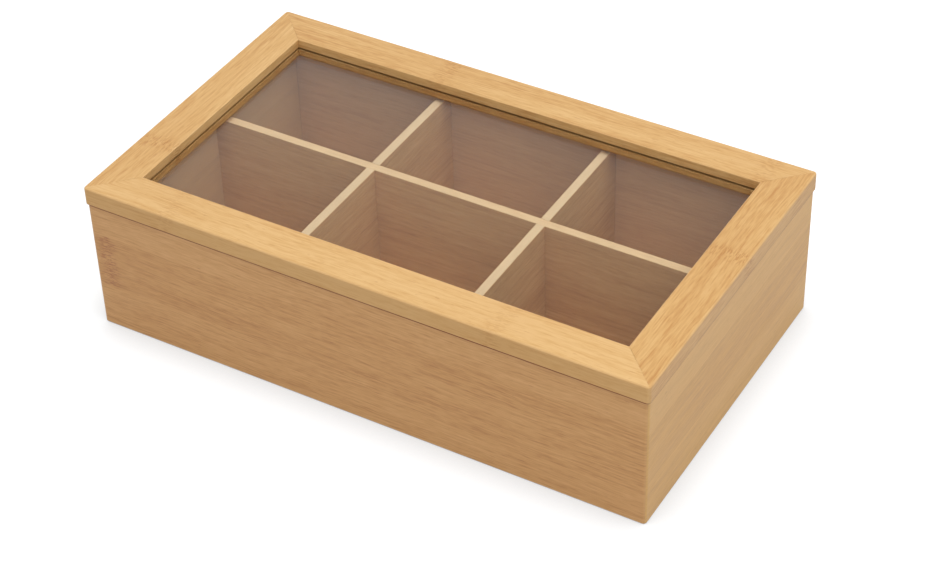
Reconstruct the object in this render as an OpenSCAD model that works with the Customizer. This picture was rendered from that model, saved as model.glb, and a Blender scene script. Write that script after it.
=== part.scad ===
// Tea bag organizer box in bamboo: mitred walls, six compartments and a hinged lid with a
// clear window. Millimetres. X runs left to right, Y front to back, Z up. The origin is the
// middle of the box's footprint, on its underside.

/* [Box] */
// Width of the lid, left to right, which is the widest outline of the box
lid_width = 250; // [190:1:400]
// Depth of the lid, front to back
lid_depth = 146; // [110:1:260]
// Height of the walls
wall_height = 60; // [40:1:120]
// Thickness of the four walls
wall_thickness = 9; // [8:0.5:11]
// Radius of the upright corners of the walls and the lid
corner_radius = 1.5; // [0.5:0.1:4]

/* [Bottom] */
// Thickness of the bottom panel
bottom_thickness = 4; // [3:0.5:8]
// How far the bottom panel reaches into the rebate under each wall
rebate_width = 4.5; // [2:0.5:6]

/* [Dividers] */
// Thickness of the dividers
divider_thickness = 3.8; // [2:0.1:6]
// How far the long divider stands behind the middle of the box
long_divider_offset = 5; // [-15:0.5:15]
// Depth of the upright grooves that hold the divider ends
divider_groove = 3; // [1.5:0.5:5]

/* [Lid frame] */
// Thickness of the lid frame at its outer edge
lid_thickness = 8; // [7.5:0.5:14]
// Width of the four lid frame members
member_width = 17; // [15:0.5:30]
// How far the lid stands proud of the walls all round
lid_overhang = 0.6; // [0.5:0.1:1.5]
// How far the locating lip reaches down below the rest of the lid's underside
lip_drop = 1; // [0.5:0.1:3]
// Radius along the top outer edges of the lid
lid_edge_radius = 0.8; // [0.3:0.1:2]

/* [Window] */
// Thickness of the clear pane
pane_thickness = 2; // [1:0.1:3]
// How far the pane's groove lies below the top of the lid
pane_recess = 4; // [2.5:0.5:5]
// Depth of the pane's groove in each lid member
pane_groove = 4; // [2:0.5:6]

/* [Hinges] */
// Distance from each side of the lid to the middle of a hinge
hinge_inset = 50; // [30:1:70]
// Length of each hinge along the pin
hinge_length = 24; // [16:1:36]
// Width of a leaf, from the pin's axis to its free edge
leaf_width = 7; // [6.5:0.5:7.5]
// Thickness of the hinge leaves
leaf_thickness = 1; // [0.6:0.1:1.2]
// Radius of the hinge pin
pin_radius = 1; // [0.7:0.1:1.3]
// Number of knuckles on a hinge
knuckle_count = 5; // [3:2:7]

/* [Screws] */
// Length of the hinge screws, heads included
screw_length = 6; // [4:0.5:6.5]
// Radius of the screw shanks
screw_radius = 0.9; // [0.7:0.1:1.1]
// Radius of the countersunk screw heads
screw_head_radius = 1.7; // [1.4:0.1:1.9]

/* [Clearances] */
// Gap between the closed lid and the top of the walls
lid_gap = 0.3; // [0.2:0.1:1]
// Gap between the locating lip and the walls
lip_clearance = 0.5; // [0.3:0.1:1.5]
// Gap between the locating lip and the divider tops
divider_clearance = 2.3; // [0.5:0.1:10]
// Gap on each side of a divider in its groove and at a crossing
slot_clearance = 0.05; // [0.02:0.01:0.3]
// Gap at the edges of the bottom panel and at the ends of the dividers
end_clearance = 0.2; // [0.1:0.05:0.5]
// Play of the pane in its groove
pane_play = 0.2; // [0.1:0.05:0.5]
// Gap around a hinge leaf in its recess
leaf_clearance = 0.1; // [0.05:0.05:0.3]
// Gap around the pin in the knuckles, and around the screws in their holes
pin_clearance = 0.05; // [0.02:0.01:0.09]
// Gap around the knuckles and between them
knuckle_clearance = 0.2; // [0.1:0.05:0.3]

/* [Hidden] */
$fn = 48;
eps = 1;                       // how far a cutting solid runs past the face that it opens

// Footprint of the walls and of the space inside them
box_width = lid_width - 2 * lid_overhang;
box_depth = lid_depth - 2 * lid_overhang;
inner_width = box_width - 2 * wall_thickness;
inner_depth = box_depth - 2 * wall_thickness;

// Heights in the lid
lid_bottom = wall_height + lid_gap;
lid_top = lid_bottom + lid_thickness;
lip_bottom = lid_bottom - lip_drop;
pane_groove_height = pane_thickness + pane_play;
pane_bottom = lid_top - pane_recess - pane_groove_height;

// Insets from the outline of the lid
lip_inset = lid_overhang + wall_thickness + lip_clearance;
window_width = lid_width - 2 * member_width;
window_depth = lid_depth - 2 * member_width;

// Dividers: three equal columns, and a long divider that crosses them
divider_top = lip_bottom - divider_clearance;
divider_height = divider_top - bottom_thickness;
lap_height = divider_height / 2;
column_width = (inner_width - 2 * divider_thickness) / 3;
cross_divider_x = (column_width + divider_thickness) / 2;
divider_slot = divider_thickness + 2 * slot_clearance;
divider_reach = divider_groove - end_clearance;

// Hinges: the pin's axis runs in the plane of the back face, halfway up the gap
hinge_x = lid_width / 2 - hinge_inset;
pin_y = box_depth / 2;
pin_z = wall_height + lid_gap / 2;
barrel_radius = pin_radius + pin_clearance + leaf_thickness;
pin_head_height = 0.6;
pin_head_radius = pin_radius + leaf_thickness / 2;
knuckle_pitch = hinge_length / knuckle_count;
screw_spread = hinge_length / 2 - 1.5 * screw_head_radius - 2;
screw_y = pin_y - (leaf_width + barrel_radius) / 2 - knuckle_clearance;

bamboo_top = "#dcb077";
bamboo_side = "#bd9160";
bamboo_end = "#c8a272";
bamboo_inside = "#c39c6c";
divider_edge = "#dcbf94";
brass = "#c9a24f";
steel = "#c7b98c";
clear = "#dfe8ea";

// ---- shared shapes ----

// A block on the XY plane with round upright corners
module round_block(width, depth, height, radius) {
    for (side = [-1, 1]) for (end = [-1, 1])
        translate([side * (width / 2 - radius), end * (depth / 2 - radius), 0])
            cylinder(r = radius, h = height);
    centred_box(width - 2 * radius, depth, height);
    centred_box(width, depth - 2 * radius, height);
}

// A box centred in X and Y that stands on the XY plane
module centred_box(width, depth, height) {
    translate([-width / 2, -depth / 2, 0]) cube([width, depth, height]);
}

// The quarter of a frame that belongs to its front member, between 45 degree mitres.
// It runs from below z = 0 to past the given height.
module front_quarter(width, depth, height) {
    reach = depth / 2;
    translate([0, 0, -eps]) linear_extrude(height + 2 * eps)
        polygon([[-width / 2 - eps, -reach - eps], [width / 2 + eps, -reach - eps],
                 [width / 2 - reach, 0], [reach - width / 2, 0]]);
}

// The same for the left member, whose mitres end at the front quarter's
module left_quarter(width, depth, height) {
    reach = depth / 2;
    translate([0, 0, -eps]) linear_extrude(height + 2 * eps)
        polygon([[-width / 2 - eps, -reach - eps], [reach - width / 2, 0],
                 [-width / 2 - eps, reach + eps]]);
}

// ---- walls ----

// All four walls in one, before the mitres part them
module wall_ring() {
    difference() {
        round_block(box_width, box_depth, wall_height, corner_radius);
        translate([0, 0, -eps]) centred_box(inner_width, inner_depth, wall_height + 2 * eps);
        translate([0, 0, -eps])
            centred_box(inner_width + 2 * rebate_width, inner_depth + 2 * rebate_width,
                        bottom_thickness + eps);
        for (side = [-1, 1])
            translate([side * cross_divider_x, 0, bottom_thickness])
                centred_box(divider_slot, inner_depth + 2 * divider_groove, wall_height);
        translate([0, long_divider_offset, bottom_thickness])
            centred_box(inner_width + 2 * divider_groove, divider_slot, wall_height);
    }
}

module front_panel() {
    color(bamboo_side) intersection() {
        wall_ring();
        front_quarter(box_width, box_depth, wall_height);
    }
}

module back_panel() {
    color(bamboo_side) difference() {
        intersection() {
            wall_ring();
            mirror([0, 1, 0]) front_quarter(box_width, box_depth, wall_height);
        }
        for (side = [-1, 1]) translate([side * hinge_x, 0, 0]) {
            leaf_recess(-1);
            screw_holes(-1);
        }
    }
}

module left_panel() {
    color(bamboo_end) intersection() {
        wall_ring();
        left_quarter(box_width, box_depth, wall_height);
    }
}

module right_panel() {
    color(bamboo_end) intersection() {
        wall_ring();
        mirror([1, 0, 0]) left_quarter(box_width, box_depth, wall_height);
    }
}

module bottom_panel() {
    edge = 2 * (rebate_width - end_clearance);
    color(bamboo_inside)
        centred_box(inner_width + edge, inner_depth + edge, bottom_thickness);
}

// ---- dividers ----

// The long divider runs through at the top: its laps are cut from below
module long_divider() {
    color(divider_edge) difference() {
        translate([0, long_divider_offset, bottom_thickness])
            centred_box(inner_width + 2 * divider_reach, divider_thickness, divider_height);
        for (side = [-1, 1])
            translate([side * cross_divider_x, long_divider_offset, bottom_thickness - eps])
                centred_box(divider_slot, divider_thickness + 2 * eps,
                            lap_height + slot_clearance + eps);
    }
}

// A cross divider has its lap cut from above, where the long divider drops in
module cross_divider(x) {
    color(divider_edge) difference() {
        translate([x, 0, bottom_thickness])
            centred_box(divider_thickness, inner_depth + 2 * divider_reach, divider_height);
        translate([x, long_divider_offset, bottom_thickness + lap_height - slot_clearance])
            centred_box(divider_thickness + 2 * eps, divider_slot, divider_height);
    }
}

module cross_divider_left() { cross_divider(-cross_divider_x); }
module cross_divider_right() { cross_divider(cross_divider_x); }

// ---- lid ----

// A bar along X whose two top edges are rounded, as long and deep as the lid
module edge_bar(length, depth) {
    height = lid_top - lip_bottom;
    radius = lid_edge_radius;
    translate([0, 0, lip_bottom]) centred_box(length, depth, height - radius);
    translate([0, 0, lip_bottom]) centred_box(length, depth - 2 * radius, height);
    for (side = [-1, 1])
        translate([-length / 2, side * (depth / 2 - radius), lid_top - radius])
            rotate([0, 90, 0]) cylinder(r = radius, h = length);
}

// The outer form of the lid: round upright corners and rounded top edges
module lid_blank() {
    intersection() {
        translate([0, 0, lip_bottom])
            round_block(lid_width, lid_depth, lid_top - lip_bottom, corner_radius);
        edge_bar(lid_width, lid_depth);
        rotate(90) edge_bar(lid_depth, lid_width);
    }
}

// All four lid members in one, before the mitres part them
module lid_ring() {
    difference() {
        lid_blank();
        // the window
        translate([0, 0, lip_bottom - eps])
            centred_box(window_width, window_depth, lid_top - lip_bottom + 2 * eps);
        // the groove for the pane
        translate([0, 0, pane_bottom])
            centred_box(window_width + 2 * pane_groove, window_depth + 2 * pane_groove,
                        pane_groove_height);
        // the rebate outside the lip, which rests over the walls
        difference() {
            translate([0, 0, lip_bottom - eps])
                centred_box(lid_width + 2 * eps, lid_depth + 2 * eps, lip_drop + eps);
            translate([0, 0, lip_bottom - 2 * eps])
                centred_box(lid_width - 2 * lip_inset, lid_depth - 2 * lip_inset,
                            lip_drop + 4 * eps);
        }
    }
}

module lid_front_rail() {
    color(bamboo_top) intersection() {
        lid_ring();
        front_quarter(lid_width, lid_depth, lid_top);
    }
}

module lid_back_rail() {
    color(bamboo_top) difference() {
        intersection() {
            lid_ring();
            mirror([0, 1, 0]) front_quarter(lid_width, lid_depth, lid_top);
        }
        for (side = [-1, 1]) translate([side * hinge_x, 0, 0]) {
            leaf_recess(1);
            screw_holes(1);
        }
    }
}

module lid_left_stile() {
    color(bamboo_top) intersection() {
        lid_ring();
        left_quarter(lid_width, lid_depth, lid_top);
    }
}

module lid_right_stile() {
    color(bamboo_top) intersection() {
        lid_ring();
        mirror([1, 0, 0]) left_quarter(lid_width, lid_depth, lid_top);
    }
}

module window_pane() {
    edge = 2 * (pane_groove - pane_play);
    color(clear, 0.35) translate([0, 0, pane_bottom])
        centred_box(window_width + edge, window_depth + edge, pane_thickness);
}

// ---- hinges ----
// Hinge parts are drawn about x = 0. up is 1 for the lid's leaf and -1 for the wall's.

// A bar about the pin's axis, as long as the hinge and centred on it
module along_pin(radius, length) {
    translate([-length / 2, pin_y, pin_z]) rotate([0, 90, 0]) cylinder(r = radius, h = length);
}

// Space of one leaf's plate: flat on the gap's face, out to the pin's axis
module leaf_plate(up, clearance) {
    low = up > 0 ? lid_gap / 2 : -lid_gap / 2 - leaf_thickness;
    translate([-hinge_length / 2 - clearance, pin_y - leaf_width - clearance, pin_z + low])
        cube([hinge_length + 2 * clearance, leaf_width + clearance, leaf_thickness]);
}

// Recess for a leaf and for half of the barrel, cut from the wall or the lid
module leaf_recess(up) {
    leaf_plate(up, leaf_clearance);
    // opens the recess onto the gap
    translate([0, 0, -up * lid_gap / 2]) leaf_plate(up, leaf_clearance);
    along_pin(barrel_radius + knuckle_clearance,
              hinge_length + 2 * (pin_head_height + leaf_clearance));
}

// Knuckle number i, counted from the left; the wall's leaf has the even ones
module knuckle(i, radius, margin) {
    translate([(i - (knuckle_count - 1) / 2) * knuckle_pitch, 0, 0])
        along_pin(radius, knuckle_pitch + 2 * margin);
}

module hinge_leaf(up) {
    first = up > 0 ? 1 : 0;
    color(brass) difference() {
        union() {
            difference() {
                leaf_plate(up, 0);
                for (i = [1 - first : 2 : knuckle_count - 1])
                    knuckle(i, barrel_radius + knuckle_clearance, knuckle_clearance / 2);
            }
            for (i = [first : 2 : knuckle_count - 1])
                knuckle(i, barrel_radius, -knuckle_clearance / 2);
        }
        along_pin(pin_radius + pin_clearance, hinge_length + 2 * eps);
        for (side = [-1, 1]) screw_at(side, up) {
            translate([0, 0, -eps])
                cylinder(r = screw_radius + pin_clearance, h = leaf_thickness + 2 * eps);
            countersink(pin_clearance);
        }
    }
}

// Pin with a low head at each end
module hinge_pin() {
    color(steel) {
        along_pin(pin_radius, hinge_length + pin_head_height);
        for (side = [-1, 1])
            translate([side * (hinge_length + pin_head_height) / 2, 0, 0])
                along_pin(pin_head_radius, pin_head_height);
    }
}

// ---- screws ----

// Moves a screw, drawn head down at the origin with its shank up, to its place in a leaf
module screw_at(side, up) {
    translate([side * screw_spread, screw_y, pin_z + up * lid_gap / 2])
        mirror([0, 0, up > 0 ? 0 : 1]) children();
}

// Cone under a screw head, from the leaf's face inward
module countersink(clearance) {
    depth = screw_head_radius - screw_radius;
    cylinder(r1 = screw_head_radius + clearance, r2 = screw_radius + clearance, h = depth);
}

// Holes in the wood that take the two screws of a leaf
module screw_holes(up) {
    for (side = [-1, 1]) screw_at(side, up) {
        cylinder(r = screw_radius + pin_clearance, h = screw_length + pin_clearance);
        countersink(pin_clearance);
    }
}

module screw() {
    point = 1.6 * screw_radius;
    driver_width = 0.4;
    driver_length = 1.2 * screw_head_radius;
    difference() {
        union() {
            countersink(0);
            cylinder(r = screw_radius, h = screw_length - point);
            translate([0, 0, screw_length - point])
                cylinder(r1 = screw_radius, r2 = 0.1, h = point);
        }
        for (turn = [0, 90]) rotate(turn)
            translate([0, 0, -eps]) centred_box(driver_length, driver_width, 0.5 + eps);
    }
}

module leaf_screws(up) {
    color(brass)
        for (hinge = [-1, 1]) translate([hinge * hinge_x, 0, 0])
            for (side = [-1, 1]) screw_at(side, up) screw();
}

module at_hinge(side) { translate([side * hinge_x, 0, 0]) children(); }

front_panel();
back_panel();
left_panel();
right_panel();
bottom_panel();
long_divider();
cross_divider_left();
cross_divider_right();
lid_front_rail();
lid_back_rail();
lid_left_stile();
lid_right_stile();
window_pane();
at_hinge(-1) hinge_leaf(-1);  // hinge_left_wall_leaf
at_hinge(-1) hinge_leaf(1);  // hinge_left_lid_leaf
at_hinge(-1) hinge_pin();  // hinge_left_pin
at_hinge(1) hinge_leaf(-1);  // hinge_right_wall_leaf
at_hinge(1) hinge_leaf(1);  // hinge_right_lid_leaf
at_hinge(1) hinge_pin();  // hinge_right_pin
leaf_screws(-1);  // wall_leaf_screws
leaf_screws(1);  // lid_leaf_screws
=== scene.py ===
"""Looks of the bamboo tea bag box: mitred walls, six compartments and a hinged lid round a clear pane.

Shapes are worked out in millimetres and written to their meshes in metres. A wooden piece is an outline
of its cross-section carried along the piece. In an outline, depth runs from the outer face inwards and
height runs up.
"""
import math

import bpy
import numpy as np
from mathutils import Matrix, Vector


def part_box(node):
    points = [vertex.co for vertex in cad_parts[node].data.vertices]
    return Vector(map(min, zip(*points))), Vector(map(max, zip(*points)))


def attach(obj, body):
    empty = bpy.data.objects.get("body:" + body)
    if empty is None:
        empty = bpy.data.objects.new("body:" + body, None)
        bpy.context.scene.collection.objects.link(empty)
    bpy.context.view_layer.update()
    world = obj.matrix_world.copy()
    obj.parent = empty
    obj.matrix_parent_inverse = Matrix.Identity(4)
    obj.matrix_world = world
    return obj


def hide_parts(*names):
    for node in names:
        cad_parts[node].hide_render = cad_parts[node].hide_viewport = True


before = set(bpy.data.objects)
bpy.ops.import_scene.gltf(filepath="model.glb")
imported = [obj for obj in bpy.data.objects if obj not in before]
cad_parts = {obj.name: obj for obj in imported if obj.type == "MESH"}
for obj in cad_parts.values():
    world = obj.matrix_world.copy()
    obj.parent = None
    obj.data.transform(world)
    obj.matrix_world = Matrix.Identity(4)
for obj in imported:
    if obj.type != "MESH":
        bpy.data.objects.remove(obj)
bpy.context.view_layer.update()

MM = 0.001

# ---- sizes, read from the frame (millimetres) ----


def corners(node):
    """A CAD node's lowest and highest corner."""
    low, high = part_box(node)
    return np.array(low) / MM, np.array(high) / MM


wall_low, wall_high = corners("front_panel")
side_low, side_high = corners("right_panel")
rail_low, rail_high = corners("lid_front_rail")
stile_low, stile_high = corners("lid_right_stile")
pane_low, pane_high = corners("window_pane")
bottom_low, bottom_high = corners("bottom_panel")
long_low, long_high = corners("long_divider")
cross_low, cross_high = corners("cross_divider_right")
pin_low, pin_high = corners("hinge_right_pin")
leaf_low, leaf_high = corners("hinge_right_lid_leaf")

BOX_X = side_high[0]                       # half the walls' outline, left to right
BOX_Y = -wall_low[1]                       # and front to back
WALL = wall_high[1] - wall_low[1]          # thickness of a wall
WALL_TOP = wall_high[2]
LID_X = stile_high[0]
LID_Y = -rail_low[1]
MEMBER = rail_high[1] - rail_low[1]        # width of a lid member
LID_TOP = rail_high[2]
LIP_BOTTOM = rail_low[2]
PIN_Y = (pin_low[1] + pin_high[1]) / 2
PIN_Z = (pin_low[2] + pin_high[2]) / 2
HINGE_X = (pin_low[0] + pin_high[0]) / 2
LID_BOTTOM = 2 * PIN_Z - WALL_TOP          # the pin lies halfway up the gap
OVERHANG = LID_X - BOX_X
BOARD = long_high[1] - long_low[1]         # thickness of a divider
CROSS_X = (cross_low[0] + cross_high[0]) / 2
LONG_Y = (long_low[1] + long_high[1]) / 2

# ---- fits, the same as the construction's ----

LIP_CLEARANCE = 0.5                        # between the lid's lip and the walls
PANE_PLAY = 0.2                            # of the pane in its groove
SLOT_CLEARANCE = 0.05                      # on each side of a divider in its groove
END_CLEARANCE = 0.2                        # at the ends of the dividers and the edges of the bottom
LEAF_CLEARANCE = 0.1                       # around a hinge leaf
KNUCKLE_CLEARANCE = 0.2                    # around the hinge barrel
LEAF_THICKNESS = 1.0
BARREL_RADIUS = leaf_high[1] - PIN_Y

# ---- how far each edge is sanded round ----

CORNER_RADIUS = 1.5                        # upright corners of the walls and the lid
LID_ARRIS = 0.8                            # along the top outer edge of the lid
EASED = 0.4                                # other edges that a hand meets
SEAM_ARRIS = 0.3                           # along the joint under the lid
LIP_ARRIS = 0.2                            # along the lip's lower inner edge
DIVIDER_ARRIS = 0.25                       # round a divider
PANE_ARRIS = 0.3                           # seamed edges of the pane
BROKEN = 0.15                              # edges only broken with paper

# ---- joints and painted shade: how far their dark spreads, and how dark they are (edge weights) ----

MITRE_GROOVE = 0.05                        # how far the two sides of a mitre fall away at the joint
SEAM_SHADE = 0.15                          # how far past its arris the painted shade of the joint under the lid reaches
LIP_SHADE = 0.4                            # how far from its lower inner edge the lip has painted shade
MITRE_DARK = -0.12
WALL_SEAM_PAINTED_SHADE, LID_SEAM_PAINTED_SHADE = -1.3, -1.0                 # painted shade along the joint under the lid, below and above
LIP_PAINTED_SHADE, LIP_FACE_PAINTED_SHADE = -0.8, -0.25                      # painted shade on the lip's lower inner edge, and just above it
GROOVE_PAINTED_SHADE, GROOVE_LOW_PAINTED_SHADE, GROOVE_TOP_PAINTED_SHADE = -1.5, -0.3, -0.2   # painted shade in the pane's groove, and on the inner face below and above it

# ---- limits of the working ----

TINY = 1e-9                                # keeps a division off nought
NEAR = 1e-3                                # two places as near as this are the same
WELD = 2e-4                                # points as near as this become one
END_MARGIN = 0.5                           # the straight stretch stops at least this far from a piece's end
RING_GAP = 0.01                            # and this much before the ring where the end is drawn in
CORNER_ANGLES = 7                          # angles of rings round half an upright corner
ARC_POINTS = 9                             # points round a hinge's arc

# ---- surfaces ----


def eased(rows, steps=5):
    """A closed outline with rounded corners, and each point's edge weight: up to 1 round an arris that
    sanding has left pale, and below 0 where a joint is dark or shade is painted. A row is a corner's
    (depth, height, radius, shade), and shade is that weight below 0, or 0.

    A corner P with radius r is drawn from r before P to r past it as the rational curve
    ((1-s)^2 start + 2 s (1-s) w P + s^2 end) / ((1-s)^2 + 2 s (1-s) w + s^2). With w the root of a half it
    is a quarter circle at a square corner. A corner with radius 0 stays one point. The weight of an outward
    arris is 4 s (1-s), and an inward corner's is 0.
    """
    rows = np.asarray(rows, float)
    p, r, shade = rows[:, :2], rows[:, 2], rows[:, 3:]
    way_in, way_out = (way / np.maximum(np.linalg.norm(way, axis=1, keepdims=True), TINY)
                       for way in (p - np.roll(p, 1, 0), np.roll(p, -1, 0) - p))
    s = np.linspace(0, 1, steps + 1)[None, :, None]
    a, b, c = (1 - s) ** 2, 2 * s * (1 - s) * math.sqrt(0.5), s ** 2
    start, end = (p - r[:, None] * way_in)[:, None], (p + r[:, None] * way_out)[:, None]
    curve = (a * start + b * p[:, None] + c * end) / (a + b + c)
    kept = (r > 0)[:, None] | (np.arange(steps + 1) == 0)[None, :]
    outward = way_in[:, 0] * way_out[:, 1] - way_in[:, 1] * way_out[:, 0] > 0
    worn = 4 * (s * (1 - s))[0, :, 0] * (outward & (r > 0))[:, None]
    return curve[kept], np.where(shade < 0, shade, worn)[kept]


def along(half, cuts):
    """Places along a piece, and which outline each has. A cut is (from, to, outline). Where a cut starts or
    ends, two places coincide, and the wall of the cut stands between them. A later cut wins over an earlier
    one."""
    def outline_at(x):
        return next((kind for start, end, kind in reversed(cuts) if start < x < end), 0)

    places = [(-half, 0)]
    for edge in np.unique([end for cut in cuts for end in cut[:2]]):
        places += [(edge, outline_at(edge - NEAR)), (edge, outline_at(edge + NEAR))]
    return places + [(half, 0)]


def carried(outlines, edge, half, cuts=(), mitre=0.0, groove=BROKEN):
    """Rings of points (ring, point, xyz) for an outline carried along X, and each point's edge weight.

    Between the ends a ring lies in the plane x = place. Towards a mitred end the point at depth d moves to
    x = half - mitre + share (mitre - d), so that share 1 is the 45 degree plane, and the shares before it
    put the rings at even angles round the upright corner. The last ring is drawn in along the outline's own
    normals, which leaves a fine groove where two pieces meet.
    """
    plain = outlines[0]
    turn = np.tan(np.linspace(0, math.pi / 4, CORNER_ANGLES))
    round_end = 1 - CORNER_RADIUS / mitre * (1 - turn[:-1]) if mitre else np.zeros(0)
    share = np.concatenate([round_end, [1.0, 1.0]])[:, None]
    back = np.concatenate([0 * round_end, [groove, 0.0]])[:, None]
    drawn_in = np.concatenate([0 * round_end, [0.0, groove]])[:, None, None]
    tangent = np.roll(plain, -1, 0) - np.roll(plain, 1, 0)
    normal = np.stack([-tangent[:, 1], tangent[:, 0]], 1)
    normal /= np.maximum(np.linalg.norm(normal, axis=1, keepdims=True), TINY)
    end_x = half - mitre + share * (mitre - plain[None, :, 0] * bool(mitre)) - back
    end_yz = plain[None] + drawn_in * normal[None]
    end = np.concatenate([end_x[..., None], end_yz], 2)
    places = along(half - mitre - max(groove, END_MARGIN) - RING_GAP, cuts)
    middle = np.stack([np.column_stack([np.full(len(plain), x), outlines[kind]]) for x, kind in places])
    rings = np.concatenate([end[::-1] * [-1, 1, 1], middle, end])
    weight = np.broadcast_to(edge, rings.shape[:2]).copy()
    weight[[0, -1]] = MITRE_DARK if mitre else 1.0
    return rings, weight


def round_upright(points, half_x, half_y):
    """Rounds the four upright corners. Inside the square of side r at a corner, where a and b are the
    distances past the square's inner sides, a point moves to (a, b) max(a, b) / hypot(a, b), which turns the
    square into a quarter circle and keeps its diagonal, the mitre, in place. Returns the points and how far
    round each one is."""
    reach = np.array([half_x, half_y]) - CORNER_RADIUS
    past = np.maximum(np.abs(points[..., :2]) - reach, 0)
    both = (past > 0).all(-1)
    scale = np.where(both, past.max(-1) / np.maximum(np.hypot(past[..., 0], past[..., 1]), TINY), 1.0)
    moved = points.copy()
    inside = np.minimum(np.abs(points[..., :2]), reach)
    rounded = np.sign(points[..., :2]) * (inside + past * scale[..., None])
    moved[..., :2] = np.where(both[..., None], rounded, points[..., :2])
    return moved, np.clip(past.min(-1) / CORNER_RADIUS, 0, 1)


def quarter_turns(points, turns):
    """Turns points about the Z axis by a number of quarter turns."""
    c, s = round(math.cos(turns * math.pi / 2)), round(math.sin(turns * math.pi / 2))
    return points @ np.array([[c, s, 0], [-s, c, 0], [0, 0, 1]], float)


def tube_faces(rings, points):
    """Quads round a stack of rings, and one flat face over each end, as corner lists and their lengths."""
    i, j = np.meshgrid(np.arange(rings - 1), np.arange(points), indexing="ij")
    k = (j + 1) % points
    quads = np.stack([i * points + j, i * points + k, (i + 1) * points + k, (i + 1) * points + j], -1)
    first, last = np.arange(points)[::-1], (rings - 1) * points + np.arange(points)
    lengths = np.concatenate([np.full(quads.shape[0] * quads.shape[1], 4), [points, points]])
    return np.concatenate([quads.reshape(-1), first, last]), lengths


def welded(points, loops, lengths):
    """Merges points that coincide, and drops the corners and faces that vanish with them."""
    _, first, merged = np.unique(np.round(points / WELD).astype(np.int64), axis=0,
                                 return_index=True, return_inverse=True)
    loops = merged.ravel()[loops]
    face = np.repeat(np.arange(len(lengths)), lengths)
    starts = np.concatenate([[0], np.cumsum(lengths)[:-1]])
    following = np.arange(len(loops)) + 1
    following[np.cumsum(lengths) - 1] = starts
    kept = loops != loops[following]
    counts = np.bincount(face[kept], minlength=len(lengths))
    whole = counts > 2
    kept &= whole[face]
    return first, loops[kept], counts[whole]


def make_piece(name, rings, weight, raw, grain, material, body, replaced):
    """A finished piece: its mesh, its grain, edge and raw attributes, its material, and what it rides on and
    replaces."""
    flat = rings.reshape(-1, 3)
    loops, lengths = tube_faces(*rings.shape[:2])
    first, loops, lengths = welded(flat, loops, lengths)
    mesh = bpy.data.meshes.new(name)
    mesh.vertices.add(len(first))
    mesh.vertices.foreach_set("co", (flat[first] * MM).astype(np.float32).ravel())
    mesh.loops.add(len(loops))
    mesh.loops.foreach_set("vertex_index", loops.astype(np.int32))
    mesh.polygons.add(len(lengths))
    starts = np.concatenate([[0], np.cumsum(lengths)[:-1]])
    mesh.polygons.foreach_set("loop_start", starts.astype(np.int32))
    mesh.polygons.foreach_set("use_smooth", np.zeros(len(lengths), bool))
    mesh.update(calc_edges=True)
    mesh.validate()
    field = mesh.attributes.new("grain", "FLOAT_VECTOR", "POINT")
    field.data.foreach_set("vector", grain.reshape(-1, 3)[first].astype(np.float32).ravel())
    for key, values in (("edge", weight), ("raw", raw)):
        field = mesh.attributes.new(key, "FLOAT", "POINT")
        field.data.foreach_set("value", values.reshape(-1)[first].astype(np.float32))
    mesh.materials.append(material)
    piece = bpy.data.objects.new(name, mesh)
    bpy.context.scene.collection.objects.link(piece)
    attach(piece, body)
    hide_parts(*replaced)
    return piece


# ---- materials ----

MIX_A, MIX_B, MIX_OUT = 6, 7, 2            # a colour Mix node's two inputs and its output
SMOOTH = {"interpolation_type": "SMOOTHSTEP"}
JOINT_AND_SHADE_BROWN = "#8E440E"                    # the dark of a joint, and the colour of the painted shade under the lid, in the groove and on the lip
RAW_BAMBOO = "#C9AD8F"                     # bamboo with no oil on it
WARM_SIDE_BAMBOO = "#D2934A"                  # the warmer, deeper tint of a lid member's outer side


def linear(hexed):
    """An sRGB hex colour as linear RGBA."""
    c = np.array([int(hexed[i:i + 2], 16) for i in (1, 3, 5)]) / 255
    return (*np.where(c <= 0.04045, c / 12.92, ((c + 0.055) / 1.055) ** 2.4), 1.0)


def add(tree, kind, inputs=(), out=0, **settings):
    """Adds a node with its settings, and gives its output, if it has one. inputs are by socket or in order,
    and each is a value, or another node's output to link."""
    node = tree.nodes.new("ShaderNode" + kind)
    for name, value in settings.items():
        setattr(node, name, value)
    for socket, value in inputs.items() if isinstance(inputs, dict) else enumerate(inputs):
        if isinstance(value, bpy.types.NodeSocket):
            tree.links.new(value, node.inputs[socket])
        else:
            node.inputs[socket].default_value = value
    return node.outputs[out] if len(node.outputs) else None


def new_material(name):
    """An empty material, and its tree."""
    material = bpy.data.materials.new(name)
    material.use_nodes = True
    material.node_tree.nodes.clear()
    return material, material.node_tree


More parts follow.
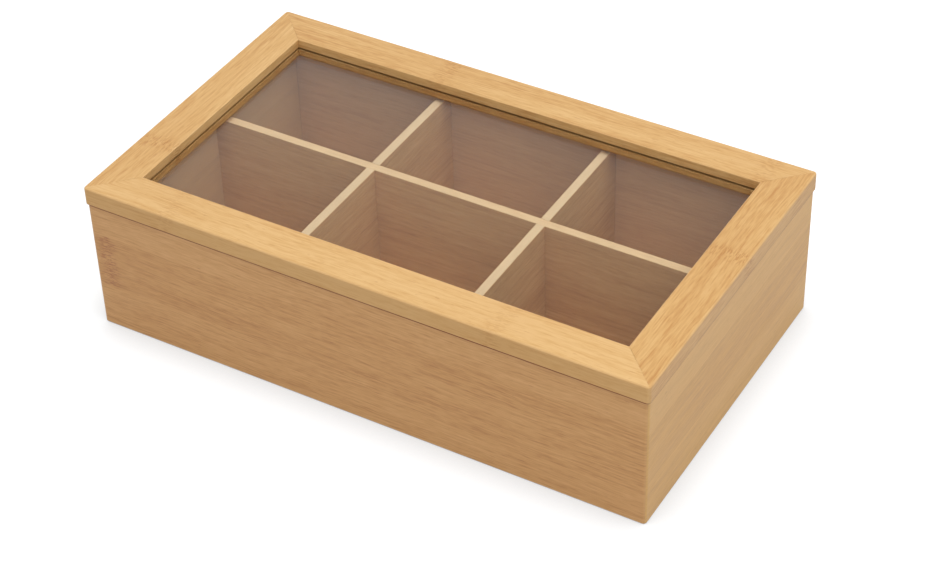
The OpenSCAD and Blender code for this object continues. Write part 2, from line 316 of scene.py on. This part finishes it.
def bamboo(name, colours, node_tint, sanded, strip, spacing, dull, figure):
    """Bamboo strips pressed flat, glued side by side, and sanded along the grain.

    It gives the eye long straight fibres that never branch, a slow drift from straw to honey along each
    strip, short reddish dashes where the cane had a node, and a soft sheen. colours runs from deep to pale,
    and sanded is the pale of a worn arris. strip is the width of a strip and spacing the length between
    nodes that show, in mm. dull is the roughness. figure is how strongly the flecks, the fine and coarse
    fibres, the slow drift and the difference between strips show. Bundles of fibre are 0.3 mm wide in the
    cane; here they are drawn at 0.8 and 2.2 mm, so that they show.
    """
    material, tree = new_material(name)
    grain = add(tree, "Attribute", out="Vector", attribute_name="grain")
    edge = add(tree, "Attribute", out="Fac", attribute_name="edge")
    raw = add(tree, "Attribute", out="Fac", attribute_name="raw")

    def pattern(lengths, detail=2.0, roughness=0.5, shift=0.0, source=grain):
        """Noise whose features have these lengths in mm along, across and through the strip. shift sets one
        pattern apart from another."""
        placed = add(tree, "Mapping", {"Vector": source, "Location": (shift, shift, shift),
                                       "Scale": tuple(1 / length for length in lengths)})
        return add(tree, "TexNoise", {"Vector": placed, "Scale": 1.0, "Detail": detail,
                                      "Roughness": roughness})

    def sum_of(start, *terms):
        """start + the sum of factor * (value - 0.5) over the terms."""
        total = start - sum(factor for factor, _ in terms) / 2
        for factor, value in terms:
            total = add(tree, "Math", (value, factor, total), operation="MULTIPLY_ADD")
        return total

    lengthwise = add(tree, "SeparateXYZ", (grain,), "X")
    across = lengthwise.node.outputs["Y"]
    strips = add(tree, "Math", (across, strip), operation="DIVIDE")
    strip_number = add(tree, "Math", (strips,), operation="FLOOR")

    # fibres wander sideways by about a millimetre
    wander = add(tree, "Math", (pattern((60, 25, 25), 1.0), 4.0), operation="MULTIPLY")
    sideways = add(tree, "CombineXYZ", {1: wander})
    bent = add(tree, "VectorMath", (grain, sideways), operation="ADD")
    flecks = pattern((5, 0.6, 0.6), 1.0, shift=2.9, source=bent)
    fine = pattern((17, 0.8, 0.8), 2.0, 0.6, source=bent)
    coarse = pattern((75, 2.2, 2.2), 3.0, 0.55, 7.3, bent)
    drift = pattern((110, 9, 14), shift=3.1, source=bent)
    strip_tone = add(tree, "TexWhiteNoise", {"W": strip_number}, "Value", noise_dimensions="1D")
    tone = sum_of(0.5, *zip(figure, (flecks, fine, coarse, drift, strip_tone)))
    colour = add(tree, "ValToRGB", (tone,))
    stops = colour.node.color_ramp.elements
    stops.new(0.5)
    for stop, position, hexed in zip(stops, (0.25, 0.5, 0.75), colours):
        stop.position, stop.color = position, linear(hexed)

    # pores: short dark dashes, thinly spread, 0.2 mm wide in the wood and drawn 0.5 mm wide
    pores = add(tree, "MapRange", (pattern((4, 0.5, 0.5), 1.0, shift=11.0), 0.68, 0.8), **SMOOTH)

    # nodes: strip n has its nodes 0.618 n spacings further on than strip 0, ragged by a few millimetres,
    # and some are planed fainter than others. Past the marks, the fine fibres are stained for 40 mm.
    start = add(tree, "Math", (strip_number, -0.618 * spacing, lengthwise), operation="MULTIPLY_ADD")
    ragged = sum_of(0.0, (7.0, pattern((1e3, 2.2, 2.2), 1.0, shift=5.0)))
    start = add(tree, "Math", (start, ragged), operation="ADD")
    from_node = add(tree, "Math", (start, spacing / 2, -spacing / 2), operation="WRAP")
    from_node = add(tree, "Math", (from_node,), operation="ABSOLUTE")
    kept = add(tree, "MapRange", (pattern((1e3, 60, 60), 0.0, shift=4.0), 0.35, 0.6, 0.35, 1.0), **SMOOTH)
    dashes = add(tree, "MapRange", (pattern((2.8, 0.6, 0.6), 2.0, 0.6, 17.0), 0.46, 0.6), **SMOOTH)
    marks = add(tree, "MapRange", (from_node, 6.0, 1.5), **SMOOTH)
    marks = add(tree, "Math", (marks, dashes), operation="MULTIPLY")
    marks = add(tree, "Math", (marks, kept), operation="MULTIPLY")
    stain = add(tree, "MapRange", (from_node, 40.0, 3.0), **SMOOTH)
    stained = add(tree, "MapRange", (fine, 0.5, 0.7), **SMOOTH)
    stain = add(tree, "Math", (stain, stained), operation="MULTIPLY")
    stain = add(tree, "Math", (stain, kept), operation="MULTIPLY")

    # glue lines between strips, 0.05 mm in the board and drawn 0.3 mm wide
    to_line = add(tree, "Math", (strips,), operation="FRACT")
    to_line = add(tree, "Math", (to_line, 0.5), operation="SUBTRACT")
    to_line = add(tree, "Math", (to_line,), operation="ABSOLUTE")
    glue = add(tree, "MapRange", (to_line, 0.5 - 0.3 / strip, 0.5), **SMOOTH)

    # sanding leaves the arrises paler, and the joints are dark with polish. Painted shade darkens the joint
    # under the lid, the pane's groove, the lip and the lid's inner faces, more so where the joints open
    worn = add(tree, "MapRange", (pattern((9, 4, 4)), 0.2, 0.6, 0.75, 0.95), **SMOOTH)
    worn = add(tree, "Math", (worn, edge), operation="MULTIPLY")
    joints_and_painted_shade = add(tree, "MapRange", (pattern((90, 30, 30), 1.0, shift=9.0), 0.35, 0.65, -0.6, -1.0), **SMOOTH)
    joints_and_painted_shade = add(tree, "Math", (joints_and_painted_shade, edge), operation="MULTIPLY")

    # the tints in the order that they are laid on, each (where, how strongly, what). Inside, where raw is
    # above 0, the wood has no oil: paler and greyer. On the lid's outer sides, where it is below, it is
    # warmer.
    layers = ((pores, 0.5, node_tint), (marks, 0.65, node_tint), (stain, 0.25, node_tint),
              (glue, 0.2, colours[0]), (raw, 0.5, RAW_BAMBOO), (raw, -0.25, WARM_SIDE_BAMBOO),
              (worn, 0.55, sanded), (joints_and_painted_shade, 1.0, JOINT_AND_SHADE_BROWN))
    for where, strength, tint in layers:
        share = add(tree, "Math", (where, strength), operation="MULTIPLY", use_clamp=True)
        colour = add(tree, "Mix", {0: share, MIX_A: colour, MIX_B: linear(tint)}, MIX_OUT, data_type="RGBA")

    # it is duller where raw is not 0: inside, where the finish is thin, and on the lid's outer sides
    thin = add(tree, "Math", (raw,), operation="ABSOLUTE")
    roughness = sum_of(dull, (0.12, coarse), (0.10, fine))
    roughness = add(tree, "Math", (thin, 0.12, roughness), operation="MULTIPLY_ADD")
    height = sum_of(0.0, (0.6, fine), (0.3, flecks), (0.3, coarse), (-0.6, pores), (-0.5, marks))
    bump = add(tree, "Bump", {"Height": height, "Strength": 0.5, "Distance": 0.06 * MM})
    shader = add(tree, "BsdfPrincipled", {"Base Color": colour, "Roughness": roughness, "IOR": 1.5,
                                          "Normal": bump})
    add(tree, "OutputMaterial", {"Surface": shader})
    return material


def pane_glass():
    """Clear float glass 2 mm thick with seamed edges: it shows the compartments a little cooler and lays the
    pale surroundings over them. Faint smears dull it here and there. Lamps reach through it, so all but a
    trace of its shadow is left out."""
    material, tree = new_material("clear_float_glass")
    place = add(tree, "TexCoord", out="Object")
    smears = add(tree, "TexNoise", {"Vector": place, "Scale": 1 / (35 * MM), "Detail": 4.0})
    roughness = add(tree, "MapRange", (smears, 0.35, 0.75, 0.0, 0.04))
    glass = add(tree, "BsdfPrincipled", {"Base Color": linear("#F4F6F5"), "Roughness": roughness,
                                         "IOR": 1.5, "Transmission Weight": 1.0})
    clear = add(tree, "BsdfTransparent", {"Color": linear("#FDFDFD")})
    shadow = add(tree, "LightPath", out="Is Shadow Ray")
    add(tree, "OutputMaterial", {"Surface": add(tree, "MixShader", (shadow, glass, clear))})
    return material


def plated_metal(name, base, dull, roughness, scratch):
    """Metal sheet or wire, pressed and plated. It gives the eye a fine drawn grain, scratch mm long, and a
    few duller patches from handling. A line of the grain is 0.03 mm wide and is drawn at 0.12 mm, so that it
    shows close by."""
    material, tree = new_material(name)
    place = add(tree, "TexCoord", out="Object")
    drawn = add(tree, "Mapping", {"Vector": place,
                                  "Scale": tuple(1 / (x * MM) for x in (scratch, 0.12, 0.12))})
    drawn = add(tree, "TexNoise", {"Vector": drawn, "Scale": 1.0, "Detail": 2.0})
    patches = add(tree, "TexNoise", {"Vector": place, "Scale": 1 / (3 * MM), "Detail": 3.0})
    worn = add(tree, "MapRange", (patches, 0.45, 0.7))
    colour = add(tree, "Mix", {0: worn, MIX_A: linear(base), MIX_B: linear(dull)}, MIX_OUT, data_type="RGBA")
    rough = add(tree, "Math", (drawn, 0.18, roughness - 0.09), operation="MULTIPLY_ADD")
    bump = add(tree, "Bump", {"Height": drawn, "Strength": 0.3, "Distance": 0.02 * MM})
    shader = add(tree, "BsdfPrincipled", {"Base Color": colour, "Metallic": 1.0, "Roughness": rough,
                                          "Normal": bump})
    add(tree, "OutputMaterial", {"Surface": shader})
    return material


# the lid is lacquered: the palest wood and the most sheen, with several nodes to a member
lid_bamboo = bamboo("satin_lacquered_bamboo", ("#CA9355", "#DDAE6E", "#E8BD80"), "#BB7E40", "#E8BF86",
                    20.0, 146.0, 0.42, (0.45, 0.75, 0.4, 0.45, 0.35))
# the long walls are only oiled: a deeper brown with long even fibres
wall_bamboo = bamboo("oiled_bamboo_board", ("#C1864B", "#D9A265", "#E6B277"), "#AA6238", "#E0B27A",
                     25.0, 700.0, 0.45, (0.4, 0.75, 0.35, 0.2, 0.1))
# the short walls come from a calmer and paler board
side_bamboo = bamboo("oiled_bamboo_end_board", ("#C8904D", "#DFAC63", "#EDBD77"), "#A5693A", "#E6BA7C",
                     25.0, 700.0, 0.45, (0.2, 0.4, 0.2, 0.2, 0.15))
# the boards inside are sanded and left dull, with creamy sawn tops
raw_bamboo = bamboo("raw_bamboo_board", ("#C08E59", "#D4A46C", "#E1B57F"), "#9A6A3E", "#F1D5AA",
                    18.0, 700.0, 0.6, (0.3, 0.55, 0.35, 0.2, 0.08))
glass = pane_glass()
brass = plated_metal("brass_plated_steel", "#D8B66A", "#AE8C4E", 0.3, 2.0)
steel = plated_metal("drawn_steel_wire", "#C9C4B4", "#A7A091", 0.28, 4.0)

# how the grain reads a piece's length, depth and height: with its strips stacked up, or laid side by side
STRIPS_UP, STRIPS_FLAT = [0, 2, 1], [0, 1, 2]

# ---- walls and lid ----

FLOOR_SEAT = BOX_X - bottom_high[0] - END_CLEARANCE    # from the outer face in to the rebate
SLOT_DEPTH = WALL - (BOX_X - long_high[0]) + END_CLEARANCE
SLOT_HALF = BOARD / 2 + SLOT_CLEARANCE
BITE = BARREL_RADIUS + KNUCKLE_CLEARANCE
LEAF_REACH = PIN_Y - leaf_low[1] + LEAF_CLEARANCE      # from the pin's axis in to the end of the recess
LEAF_HALF = (leaf_high[0] - leaf_low[0]) / 2 + LEAF_CLEARANCE
BITE_HALF = (pin_high[0] - pin_low[0]) / 2 + LEAF_CLEARANCE
PLAIN, SLOT, BARREL, LEAF = 0, 1, 2, 3


def bitten(kind, face, up, overhang, dark):
    """The rows of an outline round its hinge edge: from the recess's inner end, over the leaf's seat and the
    arc of radius BITE about the pin, to the outer face. The plain edge has the same number of points on a
    sanded arris. The arc takes dark, the weight of the painted shade along the joint under the lid, which
    ends at the points SEAM_SHADE before and past it."""
    seat = face + up * LEAF_THICKNESS if kind == LEAF else face
    inner = LEAF_REACH + overhang
    if kind == PLAIN:
        turn = np.linspace(0, math.pi / 2, ARC_POINTS)
        arc = np.column_stack([SEAM_ARRIS * (1 - np.sin(turn)), face + up * SEAM_ARRIS * (1 - np.cos(turn))])
    else:
        start = math.atan2(seat - PIN_Z, math.sqrt(BITE ** 2 - (seat - PIN_Z) ** 2))
        end = math.atan2(up * math.sqrt(BITE ** 2 - overhang ** 2), -overhang)
        turn = np.linspace(start, end, ARC_POINTS)
        arc = np.column_stack([overhang + BITE * np.cos(turn), PIN_Z + BITE * np.sin(turn)])
    before, past = arc[:1] + [SEAM_SHADE, 0], arc[-1:] + [0, up * SEAM_SHADE]
    points = np.vstack([[[inner, face], [inner, seat]], before, arc, past])
    shade = np.zeros(len(points))
    shade[3:-1] = dark
    return np.column_stack([points, np.zeros(len(points)), shade])


def wall_outline(kind=PLAIN):
    """A wall's cross-section: grooved for a divider, recessed for a hinge, or plain."""
    inner = WALL - SLOT_DEPTH if kind == SLOT else WALL
    # the wall's top outer arris gets painted shade along the joint under the lid
    edge = bitten(PLAIN if kind == SLOT else kind, WALL_TOP, -1, 0.0, WALL_SEAM_PAINTED_SHADE)
    top = WALL_TOP
    if kind == SLOT:
        top -= 2 * EASED
        edge[:2, :2] = [(inner, WALL_TOP - EASED), (inner, WALL_TOP)]
    elif kind != LEAF:
        edge[1, 0] = WALL - SLOT_DEPTH
    rest = [(0, 0, EASED, 0), (FLOOR_SEAT, 0, BROKEN, 0), (FLOOR_SEAT, bottom_high[2], BROKEN, 0),
            (inner, bottom_high[2], BROKEN, 0), (inner, top, BROKEN, 0)]
    return eased(np.vstack([edge, rest]))


def lid_outline(kind=PLAIN):
    """A lid member's cross-section: rounded outside, lipped below and grooved for the pane. Painted shade is
    deepest in the groove, round the pane, and shows on the lip's lower inner edge, on the inner face above
    and below the pane, and along the joint underneath."""
    lip = OVERHANG + WALL + LIP_CLEARANCE
    groove_end = MEMBER - (pane_high[0] - (LID_X - MEMBER)) - PANE_PLAY
    groove_top = pane_high[2] + PANE_PLAY
    edge = bitten(kind, LID_BOTTOM, 1, OVERHANG, LID_SEAM_PAINTED_SHADE)[::-1]
    outer = [(0, LID_TOP, LID_ARRIS, 0)]
    lip_rows = [(lip, LID_BOTTOM, BROKEN, 0), (lip, LIP_BOTTOM, BROKEN, 0),
                (MEMBER - LIP_SHADE, LIP_BOTTOM, 0, 0), (MEMBER, LIP_BOTTOM, LIP_ARRIS, LIP_PAINTED_SHADE),
                (MEMBER, LIP_BOTTOM + LIP_SHADE, 0, LIP_FACE_PAINTED_SHADE)]
    groove = [(MEMBER, pane_low[2], BROKEN, GROOVE_LOW_PAINTED_SHADE), (groove_end, pane_low[2], BROKEN, GROOVE_PAINTED_SHADE),
              (groove_end, groove_top, BROKEN, GROOVE_PAINTED_SHADE), (MEMBER, groove_top, BROKEN, GROOVE_TOP_PAINTED_SHADE),
              (MEMBER, LID_TOP, EASED, 0)]
    return eased(np.vstack([outer, edge, lip_rows, groove]))


RAIL_SIDE_TINT, STILE_SIDE_TINT = -1.0, -0.4         # raw on a lid member's outer side, which is warmer and duller there


def frame_member(name, outline, turns, half, other, cuts, width, strips, shift, material, body):
    """One side of a mitred frame. half is half its length and other how far its outer face is from the
    middle, and shift is its place in the board that it was cut from. A wall is raw on its inner half. A lid
    member is warmer and duller on its outer side, a rail more than a stile, and there raw is below 0."""
    shapes = {kind: outline(kind) for kind in sorted({PLAIN, *[cut[2] for cut in cuts]})}
    outlines = {kind: shape[0] for kind, shape in shapes.items()}
    rings, weight = carried(outlines, shapes[PLAIN][1], half, cuts, width, MITRE_GROOVE)
    grain = rings[..., strips] + shift
    if body == "box":
        raw = rings[..., 1] > width / 2
    else:
        raw = (STILE_SIDE_TINT if turns % 2 else RAIL_SIDE_TINT) * (rings[..., 1] < LID_ARRIS / 2)
    rings = rings - [0, other, 0]
    rings, round_weight = round_upright(rings, half, other)
    weight = np.where(weight < 0, weight, np.maximum(weight, round_weight))
    rings = quarter_turns(rings, turns)
    make_piece(name + "_board", rings, weight, raw, grain, material, body, [name])


def both_sides(middle, half, kind):
    """A cut on each side of the middle."""
    return [(side * middle - half, side * middle + half, kind) for side in (-1, 1)]


cross_slots = both_sides(CROSS_X, SLOT_HALF, SLOT)
hinge_cuts = both_sides(HINGE_X, BITE_HALF, BARREL) + both_sides(HINGE_X, LEAF_HALF, LEAF)
walls = (("front_panel", 0, BOX_X, BOX_Y, cross_slots, (550, 4, 0)),
         ("right_panel", 1, BOX_Y, BOX_X, [(LONG_Y - SLOT_HALF, LONG_Y + SLOT_HALF, SLOT)], (300, 6, 150)),
         ("back_panel", 2, BOX_X, BOX_Y, cross_slots + hinge_cuts, (552, 9, 300)),
         ("left_panel", 3, BOX_Y, BOX_X, [(-LONG_Y - SLOT_HALF, -LONG_Y + SLOT_HALF, SLOT)], (330, 12, 450)))
for name, turns, half, other, cuts, shift in walls:
    frame_member(name, wall_outline, turns, half, other, cuts, WALL, STRIPS_UP, shift,
                 side_bamboo if turns % 2 else wall_bamboo, "box")

members = (("lid_front_rail", 0, LID_X, LID_Y, [], (120.5, 41.5, 680)),
           ("lid_right_stile", 1, LID_Y, LID_X, [], (107.5, 221.5, 750)),
           ("lid_back_rail", 2, LID_X, LID_Y, hinge_cuts, (-39, 1.5, 830)),
           ("lid_left_stile", 3, LID_Y, LID_X, [], (-34, 1.5, 1075)))
for name, turns, half, other, cuts, shift in members:
    frame_member(name, lid_outline, turns, half, other, cuts, MEMBER, STRIPS_FLAT, shift,
                 lid_bamboo, "lid")


# ---- bottom, dividers and pane ----

UNMARKED, SANDED, SANDED_RAW = (0, 0), (1, 0), (1, 1)
NO_LAP = (0, 1)                            # stands in where nothing is cut


def plain_board(name, node, turns, arris, cuts, lap, strips, shift, material, body, finish=UNMARKED):
    """A square-ended board in the place of a CAD node. lap is the (low, high) height left where it is cut,
    and finish is how much its top is (worn pale, raw)."""
    low, high = corners(node)
    middle, half = (low + high) / 2, (high - low) / 2
    run, side = (half[0], half[1]) if turns == 0 else (half[1], half[0])
    outlines = {}
    for kind, (bottom, top) in enumerate([(low[2], high[2]), lap]):
        outlines[kind], weight = eased([(x, z, arris, 0) for x, z in
                                        ((-side, top), (-side, bottom), (side, bottom), (side, top))])
    rings, weight = carried(outlines, weight, run, cuts, 0.0, arris)
    on_top = rings[..., 2] > high[2] - NEAR
    weight = np.maximum(weight, finish[0] * on_top)
    grain = rings[..., strips] + shift
    rings = quarter_turns(rings, turns) + [middle[0], middle[1], 0]
    make_piece(name, rings, weight, finish[1] * on_top, grain, material, body, [node])


LAP = (long_low[2] + long_high[2]) / 2
long_laps = both_sides(CROSS_X, SLOT_HALF, 1)
cross_laps = [(LONG_Y - SLOT_HALF, LONG_Y + SLOT_HALF, 1)]
plain_board("long_divider_board", "long_divider", 0, DIVIDER_ARRIS, long_laps,
            (LAP + SLOT_CLEARANCE, long_high[2]), STRIPS_UP, (400, 3, 1200), raw_bamboo,
            "box", SANDED)
for side, shift in (("left", (10, 9, 1350)), ("right", (90, 6, 1500))):
    plain_board(f"cross_divider_{side}_board", f"cross_divider_{side}", 1, DIVIDER_ARRIS, cross_laps,
                (long_low[2], LAP - SLOT_CLEARANCE), STRIPS_UP, shift, raw_bamboo,
                "box", SANDED_RAW)
plain_board("bottom_board", "bottom_panel", 0, EASED, [], NO_LAP, STRIPS_FLAT, (20, 90, 1650), raw_bamboo,
            "box")
plain_board("window_glass", "window_pane", 0, PANE_ARRIS, [], NO_LAP, STRIPS_FLAT, (0, 0, 0), glass,
            "lid")

# ---- hinges and screws: the construction's own solids ----

for name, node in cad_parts.items():
    if name.startswith("hinge") or name.endswith("screws"):
        for socket in node.material_slots:
            socket.material = steel if name.endswith("pin") else brass

# ---- floor, light and camera (metres and degrees) ----

FLOOR_HALF = 6.0
FLOOR_DROP = 0.2 * MM                      # the floor lies this far below the box's underside
PAPER, PAPER_GLOW = "#A8AAAC", "#E2E2E2"   # the sheet, and what it adds to look white
CONTACT = 20 * MM                          # how near the box an occlusion node dims that glow: the reach of a painted contact shadow
CONTACT_GLOW = 0.35                        # the share of it that is left right under the box
AMBIENT = 0.6                              # even light from all round
CEILING_FROM, CEILING_FULL = 0.45, 0.72    # heights of a direction where white wall turns to grey ceiling
CEILING = 0.2
SOFTBOX_PLACE, SOFTBOX_SIZE, SOFTBOX_POWER = (0.45, -0.3, 1.5), 1.6, 15.0
EYE = (0.3965, -0.641, 0.626)
AZIMUTH, DOWN, ROLL = 31.2, 39.23, -1.79
FOCAL_LENGTH, SENSOR = 90.96, 36.0         # millimetres


def seen_directly(tree):
    """1 for camera, mirror and glass rays that have met no dull surface on their way, and 0 for the rest."""
    camera = add(tree, "LightPath", out="Is Camera Ray")
    path = camera.node.outputs
    seen = add(tree, "Math", (camera, path["Is Glossy Ray"]), operation="MAXIMUM")
    seen = add(tree, "Math", (seen, path["Is Transmission Ray"]), operation="MAXIMUM")
    return add(tree, "Math", (seen, path["Diffuse Depth"]), operation="SUBTRACT", use_clamp=True)


def make_floor():
    """A wide pale sheet under the box. It shows camera, mirror and glass rays a white ground and keeps the
    shadow. Near the box an occlusion node dims that white: a painted contact shadow."""
    material, tree = new_material("studio_floor")
    paper = add(tree, "BsdfDiffuse", {"Color": linear(PAPER)})
    # a painted contact shadow: an occlusion node dims the glow within CONTACT of the box
    near = add(tree, "AmbientOcclusion", {"Distance": CONTACT}, "AO", samples=8)
    near = add(tree, "MapRange", {"Value": near, "To Min": CONTACT_GLOW})
    lift = add(tree, "Math", (seen_directly(tree), near), operation="MULTIPLY")
    glow = add(tree, "Emission", {"Color": linear(PAPER_GLOW), "Strength": lift})
    add(tree, "OutputMaterial", {"Surface": add(tree, "AddShader", (paper, glow))})
    mesh = bpy.data.meshes.new("floor")
    sheet = [(-FLOOR_HALF, -FLOOR_HALF, 0), (FLOOR_HALF, -FLOOR_HALF, 0),
             (FLOOR_HALF, FLOOR_HALF, 0), (-FLOOR_HALF, FLOOR_HALF, 0)]
    mesh.from_pydata(sheet, [], [(0, 1, 2, 3)])
    mesh.materials.append(material)
    floor = bpy.data.objects.new("floor", mesh)
    floor.location.z = -FLOOR_DROP
    bpy.context.scene.collection.objects.link(floor)


def make_world():
    """Even light from all round. Camera, mirror and glass rays meet white walls, which darken to a grey
    ceiling."""
    world = bpy.data.worlds.new("studio")
    world.use_nodes = True
    tree = world.node_tree
    tree.nodes.clear()
    direction = add(tree, "TexCoord", out="Generated")
    height = add(tree, "SeparateXYZ", (direction,), "Z")
    wall = add(tree, "MapRange", (height, CEILING_FROM, CEILING_FULL, 1.0, CEILING), **SMOOTH)
    strength = add(tree, "MapRange", {"Value": seen_directly(tree), "To Min": AMBIENT, "To Max": wall})
    background = add(tree, "Background", {"Color": (1, 1, 1, 1), "Strength": strength})
    add(tree, "OutputWorld", {"Surface": background})
    bpy.context.scene.world = world


def make_lamp(name, location, size, power):
    """A round soft lamp that looks at the middle of the box. It is out for rays that were both let through
    and mirrored on their way, so that neither face of the pane shows it."""
    data = bpy.data.lights.new(name, "AREA")
    data.shape = "DISK"
    data.size = size
    data.energy = power
    data.use_nodes = True
    tree = data.node_tree
    tree.nodes.clear()
    glossy = add(tree, "LightPath", out="Glossy Depth")
    let_through = glossy.node.outputs["Transmission Depth"]
    mirrored = add(tree, "Math", (glossy, let_through), operation="MINIMUM")
    strength = add(tree, "Math", (1.0, mirrored), operation="SUBTRACT", use_clamp=True)
    add(tree, "OutputLight", {"Surface": add(tree, "Emission", {"Strength": strength})})
    lamp = bpy.data.objects.new(name, data)
    lamp.location = location
    lamp.rotation_euler = (-lamp.location).to_track_quat("-Z", "Y").to_euler()
    lamp.visible_glossy = False
    bpy.context.scene.collection.objects.link(lamp)


def make_camera(eye, azimuth, down, roll, focal_length):
    """A camera at eye that looks towards azimuth, where 0 is +Y and more turns left, and down from the
    level."""
    data = bpy.data.cameras.new("camera")
    data.sensor_width = SENSOR
    data.lens = focal_length
    data.clip_start, data.clip_end = 0.01, 50.0
    camera = bpy.data.objects.new("camera", data)
    turn = (Matrix.Rotation(math.radians(azimuth), 4, "Z") @ Matrix.Rotation(math.radians(90 - down), 4, "X")
            @ Matrix.Rotation(math.radians(roll), 4, "Z"))
    camera.matrix_world = Matrix.Translation(eye) @ turn
    bpy.context.scene.collection.objects.link(camera)
    bpy.context.scene.camera = camera


make_floor()
make_world()
make_lamp("softbox", SOFTBOX_PLACE, SOFTBOX_SIZE, SOFTBOX_POWER)
make_camera(EYE, AZIMUTH, DOWN, ROLL, FOCAL_LENGTH)
bpy.context.scene.view_settings.view_transform = "Standard"
